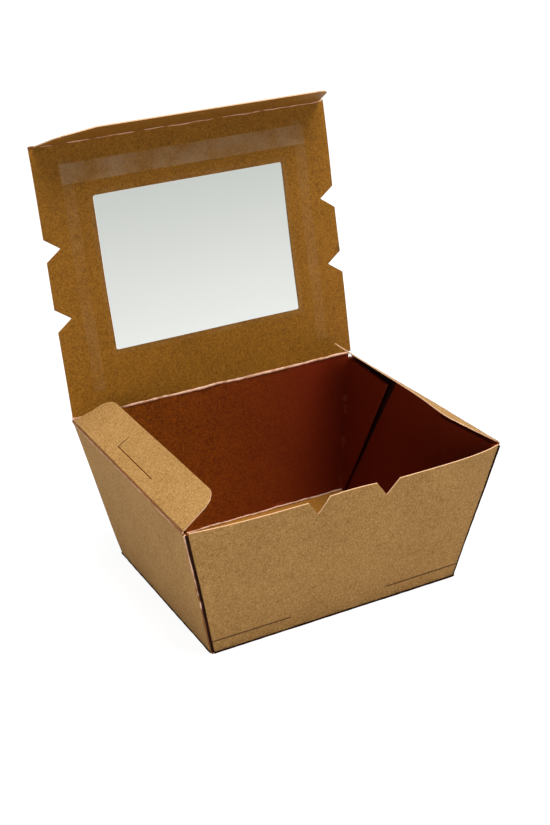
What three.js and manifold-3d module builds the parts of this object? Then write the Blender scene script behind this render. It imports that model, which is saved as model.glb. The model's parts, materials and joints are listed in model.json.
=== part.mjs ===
// Kraft takeaway box with a window in its lid, standing open, in millimetres, +Z up.
// The origin is the middle of the base's underside, X runs along the front wall and Y runs to the back.
// One creased board sheet makes everything but the film, so each panel is a slab of the board's
// thickness about its middle surface, and each crease is a round bead between two slabs.

import * as THREE from 'three';
import { mergeVertices } from 'three/addons/utils/BufferGeometryUtils.js';
import Module from 'manifold-3d';

const wasm = await Module();
wasm.setup();

// Sheet materials
const board = 0.45;
const filmThickness = 0.1;

// Tray, measured on the board's middle surface
const rimWidth = 130;
const rimDepth = 110;
const baseWidth = 107;
const baseDepth = 88;
const wallHeight = 59;
const hingeRise = 1.1;

// Outward bow of the front wall, which no flap holds straight
const frontBow = 3;
const bowFlatness = 6;
const bowRise = 1.4;
const bowSkew = 0.4;
const tongueSet = 1.2;

// Folded web in each corner: two plies that lean off the side wall towards their free edge
const webReach = 36;
const webDrop = 0.9;
const plyGap = 0.1;
const webGap = 0.35;
const webLift = 2.4;
const cornerSlit = 0.3;

// Vent notches, in pairs on the front wall and on the lid's sides
const ventSpacing = 28.2;
const ventMouth = 9.1;
const ventDepth = 6.4;

// Side flaps
const flapWidth = 17.4;
const flapEndGap = 2;
const flapTaper = 0.2;
const flapCornerRadius = 8;
const slitWidth = 0.4;
const slitFromCrease = 5.4;
const slitFrontEnd = -15.3;
const slitRearEnd = 17.2;
const slitLeg = 5.7;

// Lid with its window and its tuck-in lip
const windowWidth = 84;
const windowHeight = 63;
const windowFromHinge = 24;
const windowCornerRadius = 0.8;
const lipLength = 18.5;
const lipTaper = 0.2;
const lipCornerRadius = 6;
const lipSideGap = 0.5;
const lipFrontGap = 0.35;

// Film, glued inside the lid
const filmWidth = 108;
const filmFromHinge = 9;
const filmHeight = 94;
const filmCornerRadius = 1;

// Clearance around each hinged crease and under the film
const clearance = 0.3;

// How far each panel is folded as the box stands open
const lidLean = 9.9;
const lipBend = 74;
const leftFlapTilt = 30;
const rightFlapTilt = 40;

// Fineness of the curved faces
const bowStepsAcross = 28;
const bowStepsUp = 7;
const cornerSteps = 6;
const beadSides = 8;

// Sizes that follow from the ones above
const halfBoard = board / 2;
const hingeHeight = wallHeight + hingeRise;
const plyOffset = board + plyGap;
const innerPlyOffset = plyOffset + board + webGap;
const foldBead = (plyOffset + board) / 2;
const webBead = (innerPlyOffset - plyOffset + board) / 2;
const webFace = innerPlyOffset + halfBoard;
const sideWallInset = halfBoard + cornerSlit + foldBead;
const creaseGap = halfBoard + clearance;
const sideSlope = (rimWidth - baseWidth) / 2 / (wallHeight - halfBoard);
const lidLength = rimDepth - board - lipFrontGap;
const lidWidth = rimWidth;
const flapHalfLength = rimDepth / 2 - flapEndGap;
const webTop = 1 - webDrop / (wallHeight - halfBoard);
const lipHalfWidth = rimWidth / 2 - webFace * Math.hypot(1, sideSlope) - lipSideGap;

// Materials
const kraftOutside = new THREE.MeshStandardMaterial({ color: '#a67c49', roughness: 0.85, metalness: 0 });
const kraftLid = new THREE.MeshStandardMaterial({ color: '#8f6534', roughness: 0.55, metalness: 0 });
const kraftFlap = new THREE.MeshStandardMaterial({ color: '#b98b50', roughness: 0.85, metalness: 0 });
const clearFilm = new THREE.MeshStandardMaterial({
  color: '#e6e8ea', roughness: 0.1, metalness: 0, transparent: true, opacity: 0.3,
});

// Solids and booleans

function toSolid(geometry) {
  const bare = geometry.clone();
  bare.deleteAttribute('normal');
  bare.deleteAttribute('uv');
  const merged = mergeVertices(bare);
  return new wasm.Manifold(new wasm.Mesh({
    numProp: 3,
    vertProperties: new Float32Array(merged.attributes.position.array),
    triVerts: new Uint32Array(merged.index.array),
  }));
}

function toGeometry(solid) {
  const mesh = solid.getMesh();
  const geometry = new THREE.BufferGeometry();
  geometry.setAttribute('position', new THREE.BufferAttribute(mesh.vertProperties, 3));
  geometry.setIndex(new THREE.BufferAttribute(mesh.triVerts, 1));
  geometry.computeVertexNormals();
  return geometry;
}

function joined(geometries) {
  return geometries.map(toSolid).reduce((whole, solid) => whole.add(solid));
}

function without(solid, cutters) {
  return cutters.map(toSolid).reduce((rest, cutter) => rest.subtract(cutter), solid);
}

// A flat sheet about the plane z = 0
function sheet(shape, thickness) {
  const geometry = new THREE.ExtrudeGeometry(shape, {
    depth: thickness, bevelEnabled: false, curveSegments: cornerSteps,
  });
  return geometry.translate(0, 0, -thickness / 2);
}

// A round bead between two points, for a crease
function bead(from, to, radius) {
  const along = new THREE.Vector3().subVectors(to, from);
  const geometry = new THREE.CylinderGeometry(radius, radius, along.length(), beadSides);
  const turn = new THREE.Quaternion().setFromUnitVectors(new THREE.Vector3(0, 1, 0), along.normalize());
  const middle = new THREE.Vector3().addVectors(from, to).multiplyScalar(0.5);
  return geometry.applyQuaternion(turn).translate(middle.x, middle.y, middle.z);
}

// A slab made from a box's grid: place(across, up, out) gives each point, with across and out
// from -1 to 1 and up from 0 to 1
function mappedSlab(place, stepsAcross, stepsUp) {
  const geometry = new THREE.BoxGeometry(2, 1, 2, stepsAcross, stepsUp, 1).translate(0, 0.5, 0);
  const position = geometry.attributes.position;
  for (let i = 0; i < position.count; i += 1) {
    const point = place(position.getX(i), position.getY(i), position.getZ(i));
    position.setXYZ(i, point.x, point.y, point.z);
  }
  return facingOut(geometry);
}

// A mapping that mirrors turns a slab inside out, so its triangles are turned back
function facingOut(geometry) {
  const [a, b, c] = [new THREE.Vector3(), new THREE.Vector3(), new THREE.Vector3()];
  const index = geometry.index.array;
  const corner = (point, i) => point.fromBufferAttribute(geometry.attributes.position, index[i]);
  let volume = 0;
  for (let i = 0; i < index.length; i += 3) {
    volume += corner(a, i).dot(corner(b, i + 1).cross(corner(c, i + 2)));
  }
  if (volume < 0) {
    geometry.index.array.reverse();
  }
  return geometry;
}

// A symmetric panel outline: x along the crease, y away from it, with rounded far corners
function tongueShape(halfRoot, taper, start, end, radius) {
  const lean = Math.atan(taper);
  const centreY = end - radius;
  const centreX = halfRoot - taper * centreY - radius / Math.cos(lean);
  const shape = new THREE.Shape();
  shape.moveTo(-(halfRoot - taper * start), start);
  shape.lineTo(halfRoot - taper * start, start);
  shape.absarc(centreX, centreY, radius, lean, Math.PI / 2, false);
  shape.absarc(-centreX, centreY, radius, Math.PI / 2, Math.PI - lean, false);
  return shape;
}

function roundedRectangle(halfWidth, low, high, radius) {
  const shape = new THREE.Shape();
  shape.moveTo(-halfWidth + radius, low);
  shape.absarc(halfWidth - radius, low + radius, radius, -Math.PI / 2, 0, false);
  shape.absarc(halfWidth - radius, high - radius, radius, 0, Math.PI / 2, false);
  shape.absarc(-halfWidth + radius, high - radius, radius, Math.PI / 2, Math.PI, false);
  shape.absarc(-halfWidth + radius, low + radius, radius, Math.PI, Math.PI * 1.5, false);
  return shape;
}

function rectangle(x0, y0, x1, y1) {
  const shape = new THREE.Shape();
  shape.moveTo(x0, y0);
  shape.lineTo(x1, y0);
  shape.lineTo(x1, y1);
  shape.lineTo(x0, y1);
  return shape;
}

// Tray walls

const mix = THREE.MathUtils.lerp;

function bowAt(across, up) {
  const flatTop = 1 - Math.abs(across) ** bowFlatness;
  const tongueHalf = ventSpacing / 2;
  const tongue = Math.max(0, 1 - (across * rimWidth / 2 / tongueHalf) ** 2);
  return (frontBow * (1 + bowSkew * across) * flatTop - tongueSet * tongue * up ** 2) * up ** bowRise;
}

// Front wall with side -1, back wall with side 1: both end where the inner web plies start
function endWall(side, top, bow) {
  const rise = top - halfBoard;
  const run = (rimDepth - baseDepth) / 2;
  const slant = Math.hypot(rise, run);
  return mappedSlab((across, up, out) => {
    const height = mix(halfBoard, top, up);
    const outward = mix(baseDepth / 2, rimDepth / 2, up) + bow(across, up) + out * halfBoard * rise / slant;
    return new THREE.Vector3(
      across * endWallHalfWidth(height), side * outward, height - out * halfBoard * run / slant,
    );
  }, bowStepsAcross, bowStepsUp);
}

function endWallHalfWidth(height) {
  return baseWidth / 2 + sideSlope * (height - halfBoard) - innerPlyOffset * Math.hypot(1, sideSlope);
}

// A point inside a side wall's plane: along runs to the back, and up goes from base to rim as 0 to 1
function sideWallPoint(side, along, up, inward) {
  const run = (rimWidth - baseWidth) / 2;
  const x = baseWidth / 2 + up * run - inward * Math.hypot(1, sideSlope);
  return new THREE.Vector3(side * x, along, mix(halfBoard, wallHeight, up));
}

// A flat piece of board inside a side wall's plane, between two lines that go up it
function sidePiece(side, inwardAt, top, firstAlong, secondAlong) {
  return mappedSlab((across, up, out) => {
    const height = up * top;
    const along = mix(firstAlong(height), secondAlong(height), (1 + across) / 2);
    return sideWallPoint(side, along, height, inwardAt(along, height) + out * halfBoard);
  }, 1, 1);
}

// The bead of a crease that goes up a side wall
function sideBead(side, inwardAt, top, alongAt, radius) {
  const [foot, head] = [0, top].map((up) => {
    const along = alongAt(up);
    return sideWallPoint(side, along, up, inwardAt(along, up));
  });
  return bead(foot, head, radius);
}

// One corner's web: the outer ply folds back from the side wall, the inner ply turns in from the
// front wall with end -1 or from the back wall with end 1, and the two meet in a free folded edge
function webCorner(side, end) {
  const wallFold = (up) => end * mix(baseDepth / 2, rimDepth / 2, up);
  const backFold = (up) => wallFold(up) - end * sideWallInset;
  const freeEdge = (up) => end * mix(baseDepth / 2 - sideWallInset - board, rimDepth / 2 - webReach, up);
  const leaning = (inward) => (along, up) => inward + webLift * end * (wallFold(up) - along) / webReach;
  return [
    sidePiece(side, leaning(plyOffset), webTop, backFold, freeEdge),
    sidePiece(side, leaning(innerPlyOffset), webTop, wallFold, freeEdge),
    sideBead(side, () => plyOffset / 2, webTop, backFold, foldBead),
    sideBead(side, leaning((plyOffset + innerPlyOffset) / 2), webTop, freeEdge, webBead),
    sideBead(side, () => innerPlyOffset, webTop, wallFold, halfBoard),
  ];
}

// A side wall with the creases along its foot and its rim
function sideWall(side) {
  const frontEnd = (up) => -mix(baseDepth / 2, rimDepth / 2, up) + sideWallInset;
  const backEnd = (up) => -frontEnd(up);
  const crease = (up) => bead(
    sideWallPoint(side, frontEnd(up), up, 0), sideWallPoint(side, backEnd(up), up, 0), halfBoard,
  );
  return [sidePiece(side, () => 0, 1, frontEnd, backEnd), crease(0), crease(1)];
}

// A crease across the box, at a depth and a height
function endCrease(depth, height) {
  const half = endWallHalfWidth(height);
  return bead(
    new THREE.Vector3(-half, depth, height), new THREE.Vector3(half, depth, height), halfBoard,
  );
}

// A prism that cuts one vent notch, pointing down from a top edge
function ventCutter(across, top) {
  const spare = 1.5;
  const shape = new THREE.Shape();
  shape.moveTo(0, -ventDepth);
  shape.lineTo(ventMouth / 2 * spare, ventDepth * (spare - 1));
  shape.lineTo(-ventMouth / 2 * spare, ventDepth * (spare - 1));
  return sheet(shape, rimDepth / 4).rotateX(Math.PI / 2).translate(across, -rimDepth / 2, top);
}

function trayGeometry() {
  const noBow = () => 0;
  const base = new THREE.BoxGeometry(baseWidth, baseDepth, board).translate(0, 0, halfBoard);
  const pieces = [
    base,
    endWall(-1, wallHeight, bowAt),
    endWall(1, hingeHeight, noBow),
    endCrease(-baseDepth / 2, halfBoard),
    endCrease(baseDepth / 2, halfBoard),
    endCrease(rimDepth / 2, hingeHeight),
  ];
  for (const side of [-1, 1]) {
    pieces.push(...sideWall(side), ...webCorner(side, -1), ...webCorner(side, 1));
  }
  const vents = [-1, 1].map((hand) => ventCutter(hand * ventSpacing / 2, wallHeight));
  return toGeometry(without(joined(pieces), vents));
}

// Side flap: its crease runs along X at y = 0, and the slit's leg is at the end that rear gives
function flapGeometry(rear) {
  const outline = tongueShape(flapHalfLength, flapTaper, creaseGap, flapWidth, flapCornerRadius);
  const flap = toSolid(sheet(outline, board));
  const through = 4 * board;
  const legEnd = slitFromCrease + slitLeg;
  const long = sheet(rectangle(
    rear * slitFrontEnd, slitFromCrease, rear * slitRearEnd, slitFromCrease + slitWidth,
  ), through);
  const leg = sheet(rectangle(
    rear * slitRearEnd, slitFromCrease, rear * (slitRearEnd + slitWidth), legEnd,
  ), through);
  return toGeometry(without(flap, [long, leg]));
}

// Lid panel: its hinge runs along X at y = 0, and the crease of its lip is at y = lidLength
function lidOutline() {
  const half = lidWidth / 2;
  const vents = [-1, 1].map((hand) => (lidLength + hand * ventSpacing) / 2);
  const rightSide = vents.flatMap((middle) => [
    [half, middle - ventMouth / 2], [half - ventDepth, middle], [half, middle + ventMouth / 2],
  ]);
  const rightHalf = [[half, creaseGap], ...rightSide, [half, lidLength]];
  const leftHalf = rightHalf.map(([x, y]) => [-x, y]).reverse();
  return new THREE.Shape([...rightHalf, ...leftHalf].map(([x, y]) => new THREE.Vector2(x, y)));
}

function lidGeometry() {
  const half = lidWidth / 2;
  const panel = lidOutline();
  panel.holes.push(roundedRectangle(
    windowWidth / 2, windowFromHinge, windowFromHinge + windowHeight, windowCornerRadius,
  ));
  const crease = bead(
    new THREE.Vector3(-half, lidLength, 0), new THREE.Vector3(half, lidLength, 0), halfBoard,
  );
  return toGeometry(joined([sheet(panel, board), crease]));
}

function lipGeometry() {
  return sheet(tongueShape(lipHalfWidth, lipTaper, creaseGap, lipLength, lipCornerRadius), board);
}

function filmGeometry() {
  const outline = roundedRectangle(
    filmWidth / 2, filmFromHinge, filmFromHinge + filmHeight, filmCornerRadius,
  );
  return sheet(outline, filmThickness);
}

// Assembly

const degrees = THREE.MathUtils.degToRad;

function node(name, geometry, material) {
  const mesh = new THREE.Mesh(geometry, material);
  mesh.name = name;
  return mesh;
}

// A flap on the rim, with facing -90 or 90 degrees about the upright for the left or right side
function sideFlap(name, side, tilt) {
  const fold = new THREE.Group();
  fold.position.set(side * rimWidth / 2, 0, wallHeight);
  fold.rotation.z = side * Math.PI / 2;
  const flap = node(name, flapGeometry(side), kraftFlap);
  flap.rotation.x = degrees(tilt);
  fold.add(flap);
  return fold;
}

function lid() {
  const hinge = new THREE.Group();
  hinge.position.set(0, rimDepth / 2, hingeHeight);
  hinge.rotation.x = degrees(90 - lidLean);
  const film = node('window_film', filmGeometry(), clearFilm);
  film.position.z = halfBoard + clearance + filmThickness / 2;
  const lip = node('lid_lip', lipGeometry(), kraftLid);
  lip.position.y = lidLength;
  lip.rotation.x = degrees(lipBend);
  hinge.add(node('lid_panel', lidGeometry(), kraftLid), film, lip);
  return hinge;
}

const box = new THREE.Group();
box.add(
  node('tray', trayGeometry(), kraftOutside),
  lid(),
  sideFlap('left_flap', -1, leftFlapTilt),
  sideFlap('right_flap', 1, rightFlapTilt),
);

export default box;
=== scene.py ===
"""Kraft takeaway box with a window lid: the dressed pieces, their finishes, the light and the camera."""

import json
import math
import random

import bmesh
import bpy
from mathutils import Matrix, Vector, noise

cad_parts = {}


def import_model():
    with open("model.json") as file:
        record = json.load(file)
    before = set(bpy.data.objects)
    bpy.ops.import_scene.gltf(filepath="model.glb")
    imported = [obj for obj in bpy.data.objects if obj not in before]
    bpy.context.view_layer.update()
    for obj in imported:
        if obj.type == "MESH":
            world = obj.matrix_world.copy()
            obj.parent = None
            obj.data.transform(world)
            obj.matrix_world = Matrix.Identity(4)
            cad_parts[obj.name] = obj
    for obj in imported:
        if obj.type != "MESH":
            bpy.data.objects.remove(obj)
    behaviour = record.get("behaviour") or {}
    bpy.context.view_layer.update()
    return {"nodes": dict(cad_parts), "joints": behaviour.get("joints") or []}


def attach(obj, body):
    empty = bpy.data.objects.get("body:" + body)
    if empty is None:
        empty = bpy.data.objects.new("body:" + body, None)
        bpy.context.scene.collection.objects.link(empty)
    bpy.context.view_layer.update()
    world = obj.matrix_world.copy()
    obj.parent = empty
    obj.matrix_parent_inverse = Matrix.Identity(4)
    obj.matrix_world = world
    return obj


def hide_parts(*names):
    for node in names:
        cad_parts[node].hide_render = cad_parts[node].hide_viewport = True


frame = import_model()
joints = {joint["name"]: Vector(joint["pos_m"]) for joint in frame["joints"]}

# Unless it is seeded, Blender's noise starts from the clock and bends the board another way in each run
noise.seed_set(4)

MM = 0.001

# Board, as in the part's source
BOARD = 0.45 * MM

# Tray, on the board's middle surface
RIM_WIDTH = 130 * MM
RIM_DEPTH = 110 * MM
BASE_WIDTH = 107 * MM
BASE_DEPTH = 88 * MM
WALL_HEIGHT = 59 * MM

# Corner webs: how far their free edges end from the rim's corners and from the floor's, and the narrow strip
# of painted shade beside them
WEB_REACH = 36 * MM
WEB_FOOT = 1.5 * MM
WEB_SHADE = 1.8 * MM

# Flaps: the gap at each end of their creases, and the tongue slit's place
FLAP_END_GAP = 2 * MM
SLIT_REACH = 20 * MM
SLIT_LOW = 5 * MM
SLIT_HIGH = 12 * MM

# How far the panels are folded as the box stands open, in degrees
LID_LEAN = 9.9
LIP_BEND = 74
LEFT_FLAP_TILT = 30
RIGHT_FLAP_TILT = 40

# Window, film, its glue and the print's plain line
WINDOW_WIDTH = 84 * MM
WINDOW_LOW = 24 * MM
WINDOW_HIGH = 87 * MM
FILM_WIDTH = 108 * MM
FILM_LOW = 9 * MM
FILM_HIGH = 103 * MM
GLUE_LOW = 93 * MM
GLUE_HIGH = 101 * MM
GLUE_SIDE = 5 * MM
GLUE_RIM = 2 * MM
GLUE_SIDE_SHARE = 0.22
GLUE_RIM_SHARE = 0.2
LINE_HEIGHT = 6.2 * MM
LINE_WIDTH = 0.65 * MM
LINE_GAP = 21 * MM
LINE_INK = 0.9

# Real sizes of the patterns in the pulp, its cuts, tears and folds, the glue and the film
PULP_CLOUD = 20 * MM
PULP_MOTTLE = 3 * MM
PULP_FIBRE = 0.75 * MM
PULP_FLECK = 1.9 * MM
CUT_FUR = 0.7 * MM
TEAR_PATCH = 4 * MM
PRESSED_PATCH = 3 * MM
SHADED_PATCH = 4 * MM
GLUE_SMEAR = 12 * MM
FILM_RIPPLE = 30 * MM

# Painted shade on the inside: a deeper, redder tone, from where it starts on the left to where it is full on
# the right
PAINTED_SHADE_HALF = 45 * MM
PAINTED_SHADE_SHARE = 0.9

# Fineness and unevenness of the board
GRID = 3 * MM
WARP = 0.35 * MM
WARP_SCALE = 38 * MM
WARP_UP = 0.2
FOOT = 8 * MM

# How the made-up box has moved from its true form: the rim's front right corner, the left corner of
# the lip, the right flap's free edge, and the left flap's rear end
CORNER_SHIFT = Vector((2.4 * MM, 0.8 * MM, 0))
LIP_LENGTH = 18.5 * MM
LIP_CURL = 2.4 * MM
LIP_CURL_START = 42 * MM
FLAP_LENGTH = 20 * MM
FLAP_DIP = 0.9 * MM
FLAP_DIP_MIDDLE = -39 * MM
FLAP_DIP_WIDTH = 13 * MM
FLAP_HEEL = 1.9 * MM
FLAP_HEEL_START = 36 * MM
FLAP_HEEL_REACH = 9 * MM

# What counts as one place when meshes are cut and joined, and the angle from which an edge is sharp
CUT_TOLERANCE = 1e-7
JOIN_TOLERANCE = 1e-6
SHARP_ANGLE = math.radians(35)

# Finishes of a panel's faces, and of the tray's, in the order of the materials they are given
UPPER, LOWER, PANEL_CUT, SLIT = range(4)
INSIDE, OUTSIDE, CUT, FOLD, FLOOR, WEB_GAP_SHADE = range(6)

# How near a face of the tray lies to a wall, the rim or the underside to belong to it
OUTSIDE_NEAR = 0.15 * MM
INSIDE_FAR = 0.6 * MM
INSIDE_NEAR = 0.1 * MM
RIM_NEAR = 0.3 * MM
UNDERSIDE_NEAR = 0.02 * MM
FLOOR_NEAR = 2 * BOARD
CORNER_SIDE_NEAR = 3 * BOARD
CORNER_END_NEAR = 3.6 * BOARD
WEB_GAP_END = 3 * MM
NOTCH_FROM = 0.8

# A ridge's rings are this far apart, and its line and its thickness vary over these lengths
RIDGE_STEP = 0.8 * MM
RIDGE_SIDES = 10
RIDGE_SWAY = 7 * MM
RIDGE_WOBBLE = 2.5 * MM
RIDGE_SWELL = 3 * MM

# Ridges of the lid's and the lip's creases
HINGE_RIDGE = 0.6 * MM
HINGE_WANDER = 0.36 * MM
HINGE_SHORT = 1.3 * MM
LIP_RIDGE = 0.42 * MM
LIP_TEAR = 0.2 * MM
LIP_TEAR_OFFSET = 0.22 * MM
LIP_WANDER = 0.3 * MM

# Ridge behind the floor, and the heel that closes the left rear corner
FLOOR_RIDGE = 0.38 * MM
FLOOR_RIDGE_HEIGHT = 0.75 * MM
FLOOR_RIDGE_SHORT = 1.5 * MM
FLOOR_WANDER = 0.25 * MM
HEEL_RIDGE = 0.55 * MM
HEEL_FROM_SIDE = 0.3 * MM
HEEL_FROM_END = 1.6 * MM
HEEL_BELOW_HINGE = 0.7 * MM

# Ridges of the flaps' creases, with the torn line below each
FLAP_RIDGE = 0.34 * MM
FLAP_WANDER = 0.06 * MM
FLAP_TEAR = 0.26 * MM
FLAP_TEAR_OUT = 0.12 * MM
FLAP_TEAR_DOWN = 0.42 * MM

# Ridges and cuts at the tray's corners, and the folds round its foot
CORNER_INSET = 1.025 * MM
FOLD_OFFSET = 0.275 * MM
FRONT_CORNER_RIDGE = 0.48 * MM
BACK_CORNER_RIDGE = 0.3 * MM
CORNER_CUT = 0.42 * MM
CORNER_CUT_SIDE = 0.5 * MM
CORNER_CUT_END = 0.32 * MM
TIGHT_WANDER = 0.05 * MM
FOOT_FOLD = 0.5 * MM
FOOT_FOLD_OUT = 0.12 * MM
FOOT_FOLD_SHORT = 1 * MM
FOOT_WANDER = 0.04 * MM

# Floor and room, in metres and as shares of white
FLOOR_HALF = 6.0
NEAR_BOX = 0.1
AWAY_FROM_BOX = 0.35
FLOOR_GLOW_NEAR = 0.93
ROOM_LIGHT = 0.16


def linear(hex_colour):
    """An sRGB hex colour as linear red, green, blue and alpha."""
    channels = [int(hex_colour[i:i + 2], 16) / 255 for i in (1, 3, 5)]
    return [c / 12.92 if c <= 0.04045 else ((c + 0.055) / 1.055) ** 2.4 for c in channels] + [1.0]


def add(tree, kind, settings=None, links=None):
    """Adds a node, sets its properties or sockets, and links other nodes' outputs into its inputs."""
    node = tree.nodes.new("ShaderNode" + kind)
    for key, value in (settings or {}).items():
        if isinstance(key, str) and hasattr(node, key):
            setattr(node, key, value)
        else:
            node.inputs[key].default_value = value
    for key, output in (links or {}).items():
        tree.links.new(output, node.inputs[key])
    return node


def new_material(name):
    """An empty node material with its output and the coordinates that stay with the piece."""
    material = bpy.data.materials.new(name)
    material.use_nodes = True
    tree = material.node_tree
    tree.nodes.clear()
    output = add(tree, "OutputMaterial")
    place = add(tree, "TexCoord").outputs["Object"]
    return material, tree, output, place


def fibre_colour(tree, place, light, dark, fleck):
    """Kraft pulp: faint wide clouds, mottling, fibre ends and sparse dark flecks.

    The fibre ends are drawn coarser than real ones, which are too fine to show."""
    cloud = add(tree, "TexNoise", {"Scale": 1 / PULP_CLOUD, "Detail": 2.0}, {"Vector": place})
    mottle = add(tree, "TexNoise", {"Scale": 1 / PULP_MOTTLE, "Detail": 3.0, "Roughness": 0.6}, {
        "Vector": place})
    fibre = add(tree, "TexNoise", {"Scale": 1 / PULP_FIBRE, "Detail": 4.0, "Roughness": 0.75}, {
        "Vector": place})
    faint_cloud = add(tree, "Math", {"operation": "MULTIPLY", 1: 0.1}, {0: cloud.outputs["Fac"]})
    coarse = add(tree, "Math", {"operation": "MULTIPLY_ADD", 1: 0.12}, {
        0: mottle.outputs["Fac"], 2: faint_cloud.outputs[0]})
    pulp = add(tree, "Math", {"operation": "MULTIPLY_ADD", 1: 0.78}, {
        0: fibre.outputs["Fac"], 2: coarse.outputs[0]})
    tone = add(tree, "MapRange", {"From Min": 0.36, "From Max": 0.64}, {"Value": pulp.outputs[0]})
    mixed = add(tree, "MixRGB", {"Color1": linear(dark), "Color2": linear(light)}, {"Fac": tone.outputs[0]})
    speck = add(tree, "TexNoise", {"Scale": 1 / PULP_FLECK, "Detail": 1.0}, {"Vector": place})
    specks = add(tree, "MapRange", {
        "From Min": 0.68, "From Max": 0.76, "To Max": 0.5}, {"Value": speck.outputs["Fac"]})
    flecked = add(tree, "MixRGB", {"Color2": linear(fleck)}, {
        "Fac": specks.outputs[0], "Color1": mixed.outputs[0]})
    return flecked.outputs[0], fibre.outputs["Fac"]


def between(tree, value, low, high):
    """1 where value lies between low and high, otherwise 0."""
    above = add(tree, "Math", {"operation": "GREATER_THAN", 1: low}, {0: value})
    below = add(tree, "Math", {"operation": "LESS_THAN", 1: high}, {0: value})
    both = add(tree, "Math", {"operation": "MULTIPLY"}, {0: above.outputs[0], 1: below.outputs[0]})
    return both.outputs[0]


def kraft_board_uncoated():
    """Unbleached kraft board's outside: matt, with visible fibres, and the print's thin plain line."""
    material, tree, output, place = new_material("kraft_board_uncoated")
    colour, fibre = fibre_colour(tree, place, "#b98e54", "#835d2a", "#725020")
    axes = add(tree, "SeparateXYZ", {}, {0: place})
    aside = add(tree, "Math", {"operation": "ABSOLUTE"}, {0: axes.outputs["X"]})
    off_gap = add(tree, "Math", {"operation": "GREATER_THAN", 1: LINE_GAP}, {0: aside.outputs[0]})
    level = between(tree, axes.outputs["Z"], LINE_HEIGHT - LINE_WIDTH / 2, LINE_HEIGHT + LINE_WIDTH / 2)
    front = add(tree, "Math", {"operation": "LESS_THAN", 1: -BASE_DEPTH / 2}, {0: axes.outputs["Y"]})
    on_line = add(tree, "Math", {"operation": "MULTIPLY"}, {0: off_gap.outputs[0], 1: level})
    printed = add(tree, "Math", {"operation": "MULTIPLY"}, {0: on_line.outputs[0], 1: front.outputs[0]})
    strength = add(tree, "Math", {"operation": "MULTIPLY", 1: LINE_INK}, {0: printed.outputs[0]})
    ink = add(tree, "MixRGB", {"Color2": linear("#4a2a12")}, {
        "Fac": strength.outputs[0], "Color1": colour})
    bump = add(tree, "Bump", {"Strength": 0.25, "Distance": 0.08 * MM}, {"Height": fibre})
    shader = add(tree, "BsdfPrincipled", {"Roughness": 0.88, "Specular IOR Level": 0.25}, {
        "Base Color": ink.outputs[0], "Normal": bump.outputs[0]})
    tree.links.new(shader.outputs[0], output.inputs[0])
    return material


def glue_mask(tree, place):
    """Where the film's glue lies: a smeared frame inside the film's edge, thickest along its upper side."""
    panel = add(tree, "UVMap", {"uv_map": "panel"}).outputs[0]
    axes = add(tree, "SeparateXYZ", {}, {0: panel})
    across = add(tree, "Math", {"operation": "ABSOLUTE"}, {0: axes.outputs["X"]}).outputs[0]
    up = axes.outputs["Y"]
    inside = add(tree, "Math", {"operation": "LESS_THAN", 1: FILM_WIDTH / 2}, {0: across}).outputs[0]
    upper = add(tree, "Math", {"operation": "MULTIPLY"}, {
        0: between(tree, up, GLUE_LOW, GLUE_HIGH), 1: inside}).outputs[0]
    side = add(tree, "Math", {"operation": "MULTIPLY"}, {
        0: between(tree, across, FILM_WIDTH / 2 - GLUE_SIDE, FILM_WIDTH / 2),
        1: between(tree, up, FILM_LOW, FILM_HIGH)}).outputs[0]
    paler_side = add(tree, "Math", {"operation": "MULTIPLY", 1: GLUE_SIDE_SHARE}, {0: side}).outputs[0]
    rim = add(tree, "Math", {"operation": "MULTIPLY"}, {
        0: between(tree, across, 0, WINDOW_WIDTH / 2 + GLUE_RIM),
        1: between(tree, up, WINDOW_LOW - GLUE_RIM, WINDOW_HIGH + GLUE_RIM)}).outputs[0]
    paler_rim = add(tree, "Math", {"operation": "MULTIPLY", 1: GLUE_RIM_SHARE}, {0: rim}).outputs[0]
    frame_mask = add(tree, "Math", {"operation": "MAXIMUM"}, {0: upper, 1: paler_side}).outputs[0]
    whole = add(tree, "Math", {"operation": "MAXIMUM"}, {0: frame_mask, 1: paler_rim}).outputs[0]
    smear = add(tree, "TexNoise", {"Scale": 1 / GLUE_SMEAR, "Detail": 3.0}, {"Vector": place})
    amount = add(tree, "MapRange", {
        "From Min": 0.35, "From Max": 0.65, "To Min": 0.1, "To Max": 0.36}, {"Value": smear.outputs["Fac"]})
    return add(tree, "Math", {"operation": "MULTIPLY"}, {0: whole, 1: amount.outputs[0]}).outputs[0]


def kraft_board_coated(name, light, dark, fleck, glued=False, painted_shade_tone=None):
    """Kraft board's inside under its greaseproof coat: deeper in colour, with a soft sheen.

    glued adds the greyer frame where the film is stuck down round the window. The last argument mixes in
    painted shade: a redder tone towards the right, where light only comes off the other walls."""
    material, tree, output, place = new_material(name)
    colour, fibre = fibre_colour(tree, place, light, dark, fleck)
    # Painted shade: a redder tone mixed in from left to right
    if painted_shade_tone:
        axes = add(tree, "SeparateXYZ", {}, {0: place})
        share = add(tree, "MapRange", {"From Min": -PAINTED_SHADE_HALF, "From Max": PAINTED_SHADE_HALF, "To Max": PAINTED_SHADE_SHARE}, {
            "Value": axes.outputs["X"]})
        colour = add(tree, "MixRGB", {"Color2": linear(painted_shade_tone)}, {
            "Fac": share.outputs[0], "Color1": colour}).outputs[0]
    if glued:
        colour = add(tree, "MixRGB", {"Color2": linear("#a89377")}, {
            "Fac": glue_mask(tree, place), "Color1": colour}).outputs[0]
    bump = add(tree, "Bump", {"Strength": 0.18, "Distance": 0.06 * MM}, {"Height": fibre})
    shader = add(tree, "BsdfPrincipled", {"Roughness": 0.6, "Specular IOR Level": 0.15}, {
        "Base Color": colour, "Normal": bump.outputs[0]})
    tree.links.new(shader.outputs[0], output.inputs[0])
    return material


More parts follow.
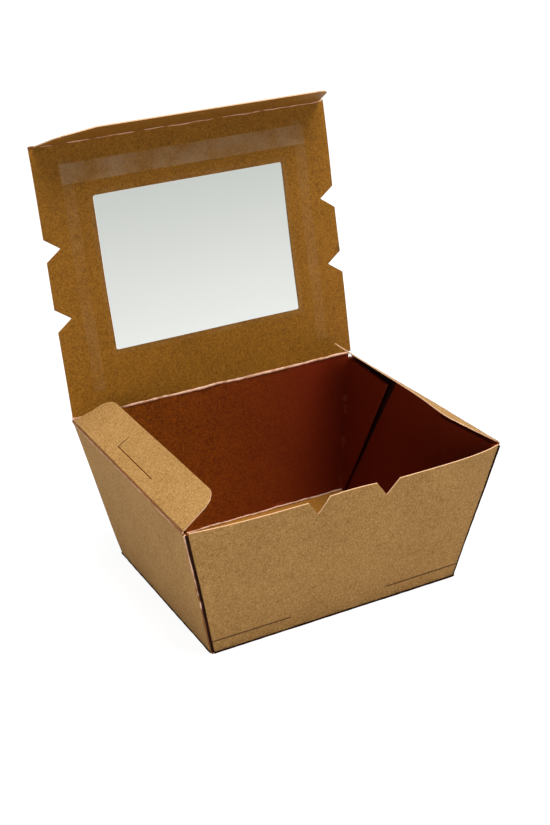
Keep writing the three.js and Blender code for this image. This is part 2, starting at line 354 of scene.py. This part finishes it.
def die_cut_edge():
    """Board cut by a steel rule: bare pulp, paler and pinker than the face, slightly furry."""
    material, tree, output, place = new_material("die_cut_edge")
    fur = add(tree, "TexNoise", {"Scale": 1 / CUT_FUR, "Detail": 3.0}, {"Vector": place})
    tone = add(tree, "MixRGB", {"Color1": linear("#c2946a"), "Color2": linear("#e6bd96")}, {
        "Fac": fur.outputs["Fac"]})
    shader = add(tree, "BsdfPrincipled", {"Roughness": 0.95, "Specular IOR Level": 0.1}, {
        "Base Color": tone.outputs[0]})
    tree.links.new(shader.outputs[0], output.inputs[0])
    return material


def cracked_crease():
    """A fold whose coated face is broken: a nearly unbroken line of pale, pinkish torn fibre."""
    material, tree, output, place = new_material("cracked_crease")
    tear = add(tree, "TexNoise", {"Scale": 1 / TEAR_PATCH, "Detail": 4.0, "Roughness": 0.6}, {
        "Vector": place})
    torn = add(tree, "MapRange", {"From Min": 0.3, "From Max": 0.55}, {"Value": tear.outputs["Fac"]})
    tone = add(tree, "MixRGB", {"Color1": linear("#a97650"), "Color2": linear("#dcb095")}, {
        "Fac": torn.outputs[0]})
    bump = add(tree, "Bump", {"Strength": 0.5, "Distance": 0.15 * MM}, {"Height": tear.outputs["Fac"]})
    shader = add(tree, "BsdfPrincipled", {"Roughness": 0.9, "Specular IOR Level": 0.15}, {
        "Base Color": tone.outputs[0], "Normal": bump.outputs[0]})
    tree.links.new(shader.outputs[0], output.inputs[0])
    return material


def pressed_crease():
    """A fold of the uncoated face: pressed pulp, browner and a little redder than the board beside it."""
    material, tree, output, place = new_material("pressed_crease")
    press = add(tree, "TexNoise", {"Scale": 1 / PRESSED_PATCH, "Detail": 3.0}, {"Vector": place})
    tone = add(tree, "MixRGB", {"Color1": linear("#6b3f22"), "Color2": linear("#8f6238")}, {
        "Fac": press.outputs["Fac"]})
    shader = add(tree, "BsdfPrincipled", {"Roughness": 0.9, "Specular IOR Level": 0.1}, {
        "Base Color": tone.outputs[0]})
    tree.links.new(shader.outputs[0], output.inputs[0])
    return material


def shadowed_fold():
    """Painted shade: a near-black colour for the inside of a narrow cut or gap, or the foot's underside,
    which hardly any light reaches.
    """
    material, tree, output, place = new_material("shadowed_fold")
    patch = add(tree, "TexNoise", {"Scale": 1 / SHADED_PATCH, "Detail": 3.0}, {"Vector": place})
    tone = add(tree, "MixRGB", {"Color1": linear("#140806"), "Color2": linear("#361a10")}, {
        "Fac": patch.outputs["Fac"]})
    shader = add(tree, "BsdfPrincipled", {"Roughness": 0.95, "Specular IOR Level": 0.05}, {
        "Base Color": tone.outputs[0]})
    tree.links.new(shader.outputs[0], output.inputs[0])
    return material


def clear_pet_film():
    """Thin clear PET film, hardly seen where it is glued down; over the window a faint grey painted shade,
    darker towards the top, stands for the dimmer backdrop seen through it.
    """
    material, tree, output, place = new_material("clear_pet_film")
    panel = add(tree, "UVMap", {"uv_map": "panel"}).outputs[0]
    axes = add(tree, "SeparateXYZ", {}, {0: panel})
    across = add(tree, "Math", {"operation": "ABSOLUTE"}, {0: axes.outputs["X"]}).outputs[0]
    open_part = add(tree, "Math", {"operation": "MULTIPLY"}, {
        0: between(tree, across, -MM, WINDOW_WIDTH / 2),
        1: between(tree, axes.outputs["Y"], WINDOW_LOW, WINDOW_HIGH)}).outputs[0]
    # Painted shade over the window: grey, darker towards its top
    height = add(tree, "MapRange", {"From Min": WINDOW_LOW, "From Max": WINDOW_HIGH}, {
        "Value": axes.outputs["Y"]}).outputs[0]
    backdrop_shade = add(tree, "MixRGB", {"Color1": linear("#ebecea"), "Color2": linear("#dcdedb")}, {"Fac": height})
    tint = add(tree, "MixRGB", {"Color1": (1, 1, 1, 1)}, {"Fac": open_part, "Color2": backdrop_shade.outputs[0]})
    clear = add(tree, "BsdfTransparent", {}, {"Color": tint.outputs[0]})
    ripple = add(tree, "TexNoise", {"Scale": 1 / FILM_RIPPLE, "Detail": 1.0}, {"Vector": place})
    bump = add(tree, "Bump", {"Strength": 0.25, "Distance": 0.6 * MM}, {"Height": ripple.outputs["Fac"]})
    gloss = add(tree, "BsdfGlossy", {"Roughness": 0.12}, {"Normal": bump.outputs[0]})
    share = add(tree, "Math", {"operation": "MULTIPLY", 1: 0.015}, {0: open_part})
    whole = add(tree, "MixShader", {}, {0: share.outputs[0], 1: clear.outputs[0], 2: gloss.outputs[0]})
    tree.links.new(whole.outputs[0], output.inputs[0])
    return material


def clamped(value):
    """The value, held between 0 and 1."""
    return min(1.0, max(0.0, value))


def warp(point):
    """The unevenness of folded board: one smooth field in space, so that neighbours still meet."""
    wobble = noise.noise_vector(point / WARP_SCALE)
    uneven = Vector((wobble.x, wobble.y, WARP_UP * wobble.z)) * WARP * clamped(point.z / FOOT)
    to_right = clamped(0.5 + point.x / RIM_WIDTH)
    to_front = clamped(0.5 - point.y / RIM_DEPTH)
    return uneven + CORNER_SHIFT * to_right * to_front * clamped(point.z / WALL_HEIGHT)


def flat(along, away):
    """A panel that keeps its shape: no move along it, away from its crease or out of its plane."""
    return 0.0, 0.0, 0.0


def lip_curl(along, away):
    """The lip's left corner curls down a little."""
    share = clamped((-along - LIP_CURL_START) / (RIM_WIDTH / 2 - LIP_CURL_START))
    return 0.0, 0.0, LIP_CURL * share * away / LIP_LENGTH


def flap_twist(along, away):
    """The right flap's crease moves out with the rim's corner, and its free edge stays or dips a little."""
    lift = CORNER_SHIFT.x * math.sin(math.radians(RIGHT_FLAP_TILT))
    to_front = clamped(0.5 - along / RIM_DEPTH)
    dip = FLAP_DIP * math.exp(-((along - FLAP_DIP_MIDDLE) / FLAP_DIP_WIDTH) ** 2)
    return 0.0, 0.0, -(lift * to_front + dip) * clamped(away / FLAP_LENGTH)


def flap_heel(along, away):
    """The left flap's rear end runs on to the box's corner at its crease."""
    share = clamped((-along - FLAP_HEEL_START) / (RIM_DEPTH / 2 - FLAP_HEEL_START))
    return -FLAP_HEEL * share * clamped(1 - (away / FLAP_HEEL_REACH) ** 2), 0.0, 0.0


def cut_along(bm, place, normal):
    """Cuts the mesh's faces where a plane crosses them, and keeps both sides."""
    bmesh.ops.bisect_plane(
        bm, geom=bm.verts[:] + bm.edges[:] + bm.faces[:], dist=CUT_TOLERANCE,
        plane_co=place, plane_no=normal)


def sliced(bm, origin, direction, reach):
    """Cuts the mesh by planes a grid step apart, so that it can bend smoothly."""
    steps = int(reach / GRID)
    for i in range(-steps, steps + 1):
        cut_along(bm, origin + direction * (i * GRID), direction)


def finished_piece(name, bm, materials, body):
    """Turns a bmesh into a piece with its materials, which rides on a body."""
    mesh = bpy.data.meshes.new(name)
    bm.to_mesh(mesh)
    bm.free()
    for material in materials:
        mesh.materials.append(material)
    mesh.shade_smooth()
    mesh.set_sharp_from_angle(angle=SHARP_ANGLE)
    piece = bpy.data.objects.new(name, mesh)
    bpy.context.scene.collection.objects.link(piece)
    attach(piece, body)
    return piece


def fine_copy(node, directions, origin, reach):
    """A copy of a solid's mesh, cut fine along the given directions."""
    bm = bmesh.new()
    bm.from_mesh(frame["nodes"][node].data)
    bmesh.ops.remove_doubles(bm, verts=bm.verts[:], dist=JOIN_TOLERANCE)
    for direction in directions:
        sliced(bm, origin, direction, reach)
    bmesh.ops.triangulate(bm, faces=[face for face in bm.faces if len(face.verts) > 4])
    return bm


def panel_axes(position, turn_z, tilt):
    """A folded panel's own axes: x along its crease, y away from it, z out of its upper or inner face."""
    turn = Matrix.Rotation(turn_z, 3, "Z") @ Matrix.Rotation(math.radians(tilt), 3, "X")
    return Vector(position), turn.col[0].copy(), turn.col[1].copy(), turn.col[2].copy()


def panel_face_finish(facing, along, away, has_slit):
    """Which finish a panel's face has, from how far it faces the panel's normal and from its place."""
    if abs(facing) >= 0.5:
        return UPPER if facing > 0 else LOWER
    # The cut faces inside the tongue slit take the near-black painted shade
    in_slit = abs(along) < SLIT_REACH and SLIT_LOW < away < SLIT_HIGH
    return SLIT if has_slit and in_slit else PANEL_CUT


def board_panel(name, node, body, axes, materials, bend=flat):
    """A board panel: inner and outer faces, cut edges, and its own coordinates as a UV map.

    bend(along, away) gives how far the board has moved along each of the panel's own axes."""
    origin, along, away, normal = axes
    bm = fine_copy(node, (along, away), origin, RIM_WIDTH)
    uv = bm.loops.layers.uv.new("panel")
    bm.normal_update()
    has_slit = len(materials) > SLIT
    for face in bm.faces:
        centre = face.calc_center_median() - origin
        face.material_index = panel_face_finish(
            face.normal.dot(normal), centre.dot(along), centre.dot(away), has_slit)
        for loop in face.loops:
            offset = loop.vert.co - origin
            loop[uv].uv = (offset.dot(along), offset.dot(away))
    for vertex in bm.verts:
        offset = vertex.co - origin
        move = bend(offset.dot(along), offset.dot(away))
        vertex.co += warp(vertex.co) + along * move[0] + away * move[1] + normal * move[2]
    piece = finished_piece(name, bm, materials, body)
    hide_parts(node)
    return piece


def web_edge(height):
    """How far from the middle a corner web's free edge and its narrow painted shade reach at a height."""
    share = height / WALL_HEIGHT
    return (BASE_DEPTH / 2 - WEB_FOOT) * (1 - share) + (RIM_DEPTH / 2 - WEB_REACH - WEB_SHADE) * share


def tray_face_finish(centre, normal):
    """Which finish a face of the tray has, from its middle and the way it faces."""
    up = centre.z / WALL_HEIGHT
    half_x = (BASE_WIDTH + (RIM_WIDTH - BASE_WIDTH) * up) / 2
    half_y = (BASE_DEPTH + (RIM_DEPTH - BASE_DEPTH) * up) / 2
    on_side = abs(centre.x) > half_x - OUTSIDE_NEAR and normal.x * centre.x > 0
    on_end = abs(centre.y) > half_y - OUTSIDE_NEAR and normal.y * centre.y > 0 and abs(normal.y) > 0.5
    at_rim = centre.z > WALL_HEIGHT - RIM_NEAR and normal.z > 0.7
    behind_web = web_edge(centre.z) < centre.y < half_y - WEB_GAP_END
    on_wall = half_x - INSIDE_FAR < abs(centre.x) < half_x - INSIDE_NEAR and normal.x * centre.x < 0
    in_corner = abs(centre.x) > half_x - CORNER_SIDE_NEAR and abs(centre.y) > half_y - CORNER_END_NEAR
    in_notch = up > NOTCH_FROM and abs(centre.x) < half_x / 2 and centre.y < -half_y + BOARD
    # Wall faces behind a web, and in a narrow strip before its free edge, take the near-black painted shade
    if behind_web and on_wall and abs(normal.x) > 0.8:
        return WEB_GAP_SHADE
    if at_rim or (in_notch and abs(normal.y) < 0.35):
        return CUT
    if in_corner and not on_end:
        return FOLD
    if centre.z < UNDERSIDE_NEAR or on_side or on_end:
        return OUTSIDE
    # Upward faces of the floor get the lighter copy of the coated board; the walls' darker copy is painted
    # shade
    return FLOOR if centre.z < FLOOR_NEAR and normal.z > 0.9 else INSIDE


def tray(materials):
    """The tray: base, walls and corner webs."""
    axes = [Vector((1, 0, 0)), Vector((0, 1, 0)), Vector((0, 0, 1))]
    bm = fine_copy("tray", axes, Vector((0, 0, 0)), RIM_WIDTH / 2)
    for end in (-1, 1):
        foot = Vector((0, end * web_edge(0), 0))
        head = Vector((0, end * web_edge(WALL_HEIGHT), WALL_HEIGHT))
        cut_along(bm, foot, (head - foot).cross(axes[0]).normalized())
    bm.normal_update()
    for face in bm.faces:
        face.material_index = tray_face_finish(face.calc_center_median(), face.normal)
    for vertex in bm.verts:
        vertex.co += warp(vertex.co)
    piece = finished_piece("tray_board", bm, materials, "tray")
    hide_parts("tray")
    return piece


def ragged_crease(name, start, end, radius, body, material, wander):
    """A fold's ridge: a thin round that swells a little and wanders off its line by about wander."""
    rng = random.Random(name)
    rings = max(8, int((end - start).length / RIDGE_STEP))
    along = (end - start).normalized()
    first = along.orthogonal().normalized()
    second = along.cross(first)
    seed = Vector((rng.uniform(0, 50), 0, 0))
    bm = bmesh.new()
    last = None
    ends = []
    for i in range(rings + 1):
        middle = start.lerp(end, i / rings)
        sway = noise.noise_vector(middle / RIDGE_SWAY + seed)
        stray = sway + 0.5 * noise.noise_vector(middle / RIDGE_WOBBLE + seed)
        size = radius * (1 + 0.2 * noise.noise(middle / RIDGE_SWELL + seed))
        centre = middle + (first * stray.x + second * stray.y) * wander + warp(middle)
        ring = []
        for k in range(RIDGE_SIDES):
            angle = 2 * math.pi * k / RIDGE_SIDES
            ring.append(bm.verts.new(centre + (first * math.cos(angle) + second * math.sin(angle)) * size))
        if last:
            for k in range(RIDGE_SIDES):
                after = (k + 1) % RIDGE_SIDES
                bm.faces.new((last[k], last[after], ring[after], ring[k]))
        else:
            ends.append(ring[::-1])
        last = ring
    ends.append(last)
    for ring in ends:
        bm.faces.new(ring)
    piece = finished_piece(name, bm, [material], body)
    return piece


def lid_creases(cracked, pressed):
    """The torn ridge along the lid's hinge, and the lip's crease with a torn line beside it."""
    to_left = Vector((-RIM_WIDTH / 2, 0, 0))
    to_right = Vector((RIM_WIDTH / 2, 0, 0))
    short_of_right = Vector((RIM_WIDTH / 2 - HINGE_SHORT, 0, 0))
    hinge = joints["lid_hinge"]
    lip = joints["lip_fold"]
    torn = lip + Vector((0, -LIP_TEAR_OFFSET, -LIP_TEAR_OFFSET))
    ragged_crease("hinge_crease", hinge + to_left, hinge + short_of_right,
                  HINGE_RIDGE, "tray", cracked, HINGE_WANDER)
    ragged_crease("lip_crease", lip + to_left, lip + to_right, LIP_RIDGE, "lid", pressed, LIP_WANDER)
    ragged_crease("lip_broken_edge", torn + to_left, torn + to_right, LIP_TEAR, "lid", cracked, LIP_WANDER)


def rear_creases(cracked, pressed):
    """The torn fold behind the floor, and the heel that carries the left rear corner up to the hinge."""
    half_fold = Vector((BASE_WIDTH / 2 - FLOOR_RIDGE_SHORT, 0, 0))
    fold = Vector((0, BASE_DEPTH / 2 - BOARD, FLOOR_RIDGE_HEIGHT))
    ragged_crease("floor_back_crease", fold - half_fold, fold + half_fold,
                  FLOOR_RIDGE, "tray", cracked, FLOOR_WANDER)
    foot = Vector((-RIM_WIDTH / 2 + HEEL_FROM_SIDE, RIM_DEPTH / 2 - HEEL_FROM_END, WALL_HEIGHT - BOARD))
    top = joints["lid_hinge"] + Vector((-RIM_WIDTH / 2, 0, 0)) - Vector((0, 0, HEEL_BELOW_HINGE))
    ragged_crease("back_left_heel", foot, top, HEEL_RIDGE, "tray", pressed, TIGHT_WANDER)


def flap_creases(cracked, pressed):
    """Each flap's pressed crease, and the torn line just below it."""
    half_fold = Vector((0, RIM_DEPTH / 2 - FLAP_END_GAP, 0))
    for side, hand in ((-1, "left"), (1, "right")):
        middle = joints[f"{hand}_flap_fold"]
        ragged_crease(f"{hand}_flap_crease", middle - half_fold, middle + half_fold,
                      FLAP_RIDGE, "tray", pressed, FLAP_WANDER)
        torn = middle + Vector((side * FLAP_TEAR_OUT, 0, -FLAP_TEAR_DOWN))
        ragged_crease(f"{hand}_flap_broken_edge", torn - half_fold, torn + half_fold,
                      FLAP_TEAR, "tray", cracked, TIGHT_WANDER)


def corner_folds(cracked, pressed, shadowed):
    """The tray's four corners: the ridge of each fold, and beside it a near-black tube of painted shade in
    the cut.
    """
    front = (-1, "front", FRONT_CORNER_RIDGE, cracked)
    back = (1, "back", BACK_CORNER_RIDGE, pressed)
    for side, hand in ((-1, "left"), (1, "right")):
        for end, place, ridge, ridge_finish in (front, back):
            for name, from_side, from_end, radius, finish in (
                ("corner_fold", FOLD_OFFSET, CORNER_INSET, ridge, ridge_finish),
                ("corner_cut", CORNER_CUT_SIDE, CORNER_CUT_END, CORNER_CUT, shadowed),
            ):
                foot = Vector((
                    side * (BASE_WIDTH / 2 - from_side), end * (BASE_DEPTH / 2 - from_end), 2 * BOARD))
                top = Vector((
                    side * (RIM_WIDTH / 2 - from_side), end * (RIM_DEPTH / 2 - from_end),
                    WALL_HEIGHT - 2 * BOARD))
                ragged_crease(f"{place}_{hand}_{name}", foot, top, radius, "tray", finish, TIGHT_WANDER)


def foot_folds(material):
    """The base's four folded edges, rounded, in near-black painted shade where they meet the surface below.
    """
    x = BASE_WIDTH / 2 + FOOT_FOLD_OUT
    y = BASE_DEPTH / 2 + FOOT_FOLD_OUT
    corners = [Vector((-x, -y, FOOT_FOLD)), Vector((x, -y, FOOT_FOLD)), Vector((x, y, FOOT_FOLD)),
               Vector((-x, y, FOOT_FOLD))]
    for i, name in enumerate(("front", "right", "back", "left")):
        start = corners[i]
        end = corners[(i + 1) % 4]
        short = (end - start).normalized() * FOOT_FOLD_SHORT
        ragged_crease(f"{name}_foot_fold", start + short, end - short,
                      FOOT_FOLD, "tray", material, FOOT_WANDER)


def floor():
    """A plain white floor that stays white where it is lit and keeps the box's soft shadow."""
    bm = bmesh.new()
    signs = ((-1, -1), (1, -1), (1, 1), (-1, 1))
    bm.faces.new([bm.verts.new((x * FLOOR_HALF, y * FLOOR_HALF, 0)) for x, y in signs])
    mesh = bpy.data.meshes.new("floor")
    bm.to_mesh(mesh)
    bm.free()
    material, tree, output, place = new_material("white_floor")
    path = add(tree, "LightPath")
    seen = add(tree, "Math", {"operation": "MAXIMUM"}, {
        0: path.outputs["Is Camera Ray"], 1: path.outputs["Is Transmission Ray"]})
    shown = add(tree, "Math", {"operation": "MAXIMUM"}, {
        0: seen.outputs[0], 1: path.outputs["Is Glossy Ray"]})
    away = add(tree, "VectorMath", {"operation": "LENGTH"}, {0: place}).outputs["Value"]
    near = add(tree, "MapRange", {
        "From Min": NEAR_BOX, "From Max": AWAY_FROM_BOX, "To Min": FLOOR_GLOW_NEAR, "To Max": 1.0}, {
        "Value": away})
    glow = add(tree, "Math", {"operation": "MULTIPLY"}, {0: shown.outputs[0], 1: near.outputs[0]})
    tone = add(tree, "MixRGB", {"Color1": linear("#d2d2d2"), "Color2": linear("#6e6e6e")}, {
        "Fac": seen.outputs[0]})
    shader = add(tree, "BsdfPrincipled", {
        "Roughness": 1.0, "Specular IOR Level": 0.0, "Emission Color": (1, 1, 1, 1)}, {
        "Base Color": tone.outputs[0], "Emission Strength": glow.outputs[0]})
    tree.links.new(shader.outputs[0], output.inputs[0])
    mesh.materials.append(material)
    piece = bpy.data.objects.new("floor", mesh)
    bpy.context.scene.collection.objects.link(piece)


def world():
    """White behind the object, and a dimmer even light on it."""
    sky = bpy.data.worlds.new("studio")
    bpy.context.scene.world = sky
    sky.use_nodes = True
    tree = sky.node_tree
    tree.nodes.clear()
    output = add(tree, "OutputWorld")
    path = add(tree, "LightPath")
    seen = add(tree, "Math", {"operation": "MAXIMUM"}, {
        0: path.outputs["Is Camera Ray"], 1: path.outputs["Is Transmission Ray"]})
    strength = add(tree, "MapRange", {"To Min": ROOM_LIGHT, "To Max": 1.0}, {"Value": seen.outputs[0]})
    background = add(tree, "Background", {"Color": (1, 1, 1, 1)}, {"Strength": strength.outputs[0]})
    tree.links.new(background.outputs[0], output.inputs[0])


def area_light(name, place, aim, size, power):
    """A square soft light at a place, turned towards a point."""
    lamp = bpy.data.lights.new(name, "AREA")
    lamp.size = size
    lamp.energy = power
    holder = bpy.data.objects.new(name, lamp)
    bpy.context.scene.collection.objects.link(holder)
    holder.location = place
    holder.rotation_euler = (Vector(aim) - Vector(place)).to_track_quat("-Z", "Y").to_euler()


def camera():
    """The photograph's camera, from a fit to the box's corners in the picture."""
    right = Vector((0.88563, -0.46236, -0.04335))
    down = Vector((-0.22660, -0.34879, -0.90940))
    ahead = Vector((0.40535, 0.81521, -0.41366))
    place = Vector((-0.23419, -0.46908, 0.30625))
    data = bpy.data.cameras.new("camera")
    data.sensor_fit = "VERTICAL"
    data.sensor_height = 36
    data.lens = 64.55
    holder = bpy.data.objects.new("camera", data)
    bpy.context.scene.collection.objects.link(holder)
    turn = Matrix((right, -down, -ahead)).transposed().to_4x4()
    holder.matrix_world = Matrix.Translation(place) @ turn
    bpy.context.scene.camera = holder


def dress():
    """Makes every piece of the box."""
    outside = kraft_board_uncoated()
    # The walls' copy of the coated board is darker and redder than the floor's and the lid's: painted shade
    # in the well, with more painted shade towards the right
    inside = kraft_board_coated("kraft_board_coated", "#a05207", "#4c2303", "#381802", painted_shade_tone="#641402")
    floor_inside = kraft_board_coated("kraft_board_coated_floor", "#a5702a", "#825217", "#6f4715")
    lid_inside = kraft_board_coated("kraft_board_coated_lid", "#9a671d", "#68400a", "#57350b", glued=True)
    edge = die_cut_edge()
    cracked = cracked_crease()
    pressed = pressed_crease()
    shadowed = shadowed_fold()
    quarter = math.pi / 2
    lid_faces = [lid_inside, outside, edge]
    flap_faces = [outside, inside, edge, shadowed]
    tray([inside, outside, edge, pressed, floor_inside, shadowed])
    lid_axes = panel_axes(joints["lid_hinge"], 0, 90 - LID_LEAN)
    lip_axes = panel_axes(joints["lip_fold"], 0, 90 - LID_LEAN + LIP_BEND)
    left_axes = panel_axes(joints["left_flap_fold"], -quarter, LEFT_FLAP_TILT)
    right_axes = panel_axes(joints["right_flap_fold"], quarter, RIGHT_FLAP_TILT)
    board_panel("lid_board", "lid_panel", "lid", lid_axes, lid_faces)
    board_panel("lip_board", "lid_lip", "lip", lip_axes, lid_faces, lip_curl)
    board_panel("left_flap_board", "left_flap", "left_flap", left_axes,
                flap_faces, flap_heel)
    board_panel("right_flap_board", "right_flap", "right_flap", right_axes,
                flap_faces, flap_twist)
    film = clear_pet_film()
    board_panel("film_sheet", "window_film", "lid", lid_axes, [film, film, film])
    lid_creases(cracked, pressed)
    rear_creases(cracked, pressed)
    flap_creases(cracked, pressed)
    corner_folds(cracked, pressed, shadowed)
    foot_folds(shadowed)


dress()
floor()
world()
area_light("top_light", (0.25, -0.2, 1.3), aim=(0, 0, 0.05), size=1.0, power=29)
area_light("front_light", (-1.4, -1.15, 0.35), aim=(0, 0, 0.06), size=0.8, power=11.5)
camera()
scene = bpy.context.scene
scene.view_settings.view_transform = "Standard"
bpy.context.view_layer.update()
